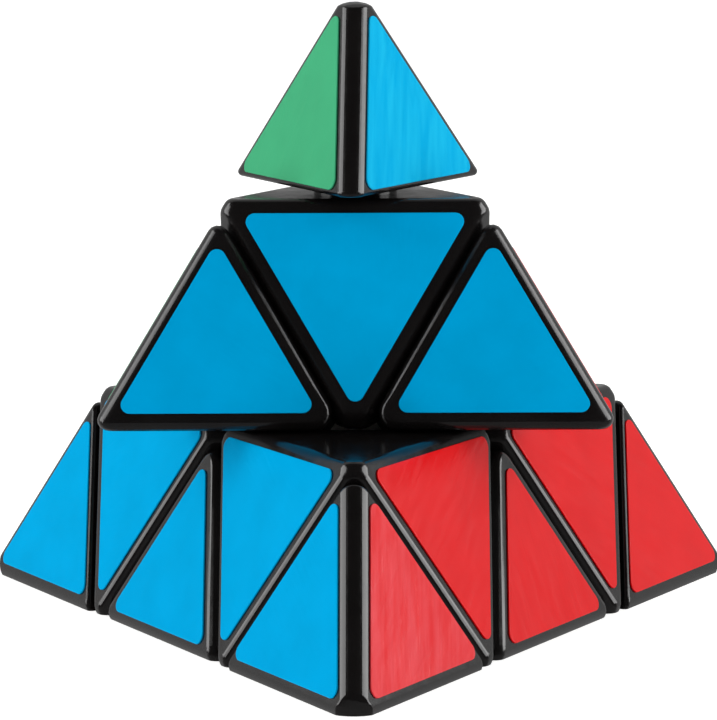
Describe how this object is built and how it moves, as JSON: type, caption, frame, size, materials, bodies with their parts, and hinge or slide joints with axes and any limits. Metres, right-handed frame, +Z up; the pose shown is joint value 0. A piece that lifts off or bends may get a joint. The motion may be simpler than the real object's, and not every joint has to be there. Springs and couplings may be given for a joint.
{
  "type": "pyramid twisty puzzle",
  "caption": "Tetrahedral twisty puzzle in glossy black plastic with coloured vinyl triangle stickers; its upper layer and its tips turn about their corner axes.",
  "frame": {"origin": "middle of the core, where the four turning axes meet; the base face lies level 20.0 mm below it", "axes": "+Z up along the upper layer's turning axis to the top tip; -Y towards the base corner that the viewer faces; +X to the viewer's right"},
  "size_m": [0.0932, 0.0883, 0.0773],
  "materials": {
    "black_plastic": "polished injection-moulded black ABS",
    "vinyl_blue": "glossy self-adhesive vinyl, sky blue",
    "vinyl_red": "glossy self-adhesive vinyl, warm red",
    "vinyl_green": "glossy self-adhesive vinyl, mid green",
    "vinyl_yellow": "glossy self-adhesive vinyl, warm yellow",
    "core_plastic": "satin moulded ABS",
    "screw_steel": "bright zinc-plated steel",
    "spring_steel": "drawn spring steel wire"
  },
  "bodies": {
    "base_layer": {"core_lower_half": "core_plastic", "core_upper_half": "core_plastic", "screw_top": "screw_steel", "screw_front": "screw_steel", "screw_left": "screw_steel", "screw_right": "screw_steel", "spring_top": "spring_steel", "spring_front": "spring_steel", "spring_left": "spring_steel", "spring_right": "spring_steel", "axial_front": "black_plastic", "axial_front_sticker_yellow": "vinyl_yellow", "axial_front_sticker_red": "vinyl_red", "axial_front_sticker_blue": "vinyl_blue", "edge_blue_yellow": "black_plastic", "edge_blue_yellow_sticker_blue": "vinyl_blue", "edge_blue_yellow_sticker_yellow": "vinyl_yellow", "axial_left": "black_plastic", "axial_left_sticker_yellow": "vinyl_yellow", "axial_left_sticker_green": "vinyl_green", "axial_left_sticker_blue": "vinyl_blue", "edge_green_yellow": "black_plastic", "edge_green_yellow_sticker_green": "vinyl_green", "edge_green_yellow_sticker_yellow": "vinyl_yellow", "axial_right": "black_plastic", "axial_right_sticker_yellow": "vinyl_yellow", "axial_right_sticker_green": "vinyl_green", "axial_right_sticker_red": "vinyl_red", "edge_red_yellow": "black_plastic", "edge_red_yellow_sticker_red": "vinyl_red", "edge_red_yellow_sticker_yellow": "vinyl_yellow"},
    "upper_layer": {"axial_top": "black_plastic", "axial_top_sticker_green": "vinyl_green", "axial_top_sticker_red": "vinyl_red", "axial_top_sticker_blue": "vinyl_blue", "edge_blue_red": "black_plastic", "edge_blue_red_sticker_blue": "vinyl_blue", "edge_blue_red_sticker_red": "vinyl_red", "edge_blue_green": "black_plastic", "edge_blue_green_sticker_blue": "vinyl_blue", "edge_blue_green_sticker_green": "vinyl_green", "edge_red_green": "black_plastic", "edge_red_green_sticker_red": "vinyl_red", "edge_red_green_sticker_green": "vinyl_green"},
    "tip_top": {"tip_top": "black_plastic", "tip_top_sticker_green": "vinyl_green", "tip_top_sticker_red": "vinyl_red", "tip_top_sticker_blue": "vinyl_blue"},
    "tip_front": {"tip_front": "black_plastic", "tip_front_sticker_yellow": "vinyl_yellow", "tip_front_sticker_red": "vinyl_red", "tip_front_sticker_blue": "vinyl_blue"},
    "tip_left": {"tip_left": "black_plastic", "tip_left_sticker_yellow": "vinyl_yellow", "tip_left_sticker_green": "vinyl_green", "tip_left_sticker_blue": "vinyl_blue"},
    "tip_right": {"tip_right": "black_plastic", "tip_right_sticker_yellow": "vinyl_yellow", "tip_right_sticker_green": "vinyl_green", "tip_right_sticker_red": "vinyl_red"}
  },
  "joints": [
    {"name": "upper_layer_turn", "type": "hinge", "parent": "base_layer", "child": "upper_layer", "pos_m": [0, 0, 0], "axis": [0, 0, 1], "continuous": true},
    {"name": "tip_top_turn", "type": "hinge", "parent": "upper_layer", "child": "tip_top", "pos_m": [0, 0, 0], "axis": [0, 0, 1], "continuous": true},
    {"name": "tip_front_turn", "type": "hinge", "parent": "base_layer", "child": "tip_front", "pos_m": [0, 0, 0], "axis": [0, -0.9428, -0.3333], "continuous": true},
    {"name": "tip_left_turn", "type": "hinge", "parent": "base_layer", "child": "tip_left", "pos_m": [0, 0, 0], "axis": [-0.8165, 0.4714, -0.3333], "continuous": true},
    {"name": "tip_right_turn", "type": "hinge", "parent": "base_layer", "child": "tip_right", "pos_m": [0, 0, 0], "axis": [0.8165, 0.4714, -0.3333], "continuous": true}
  ]
}
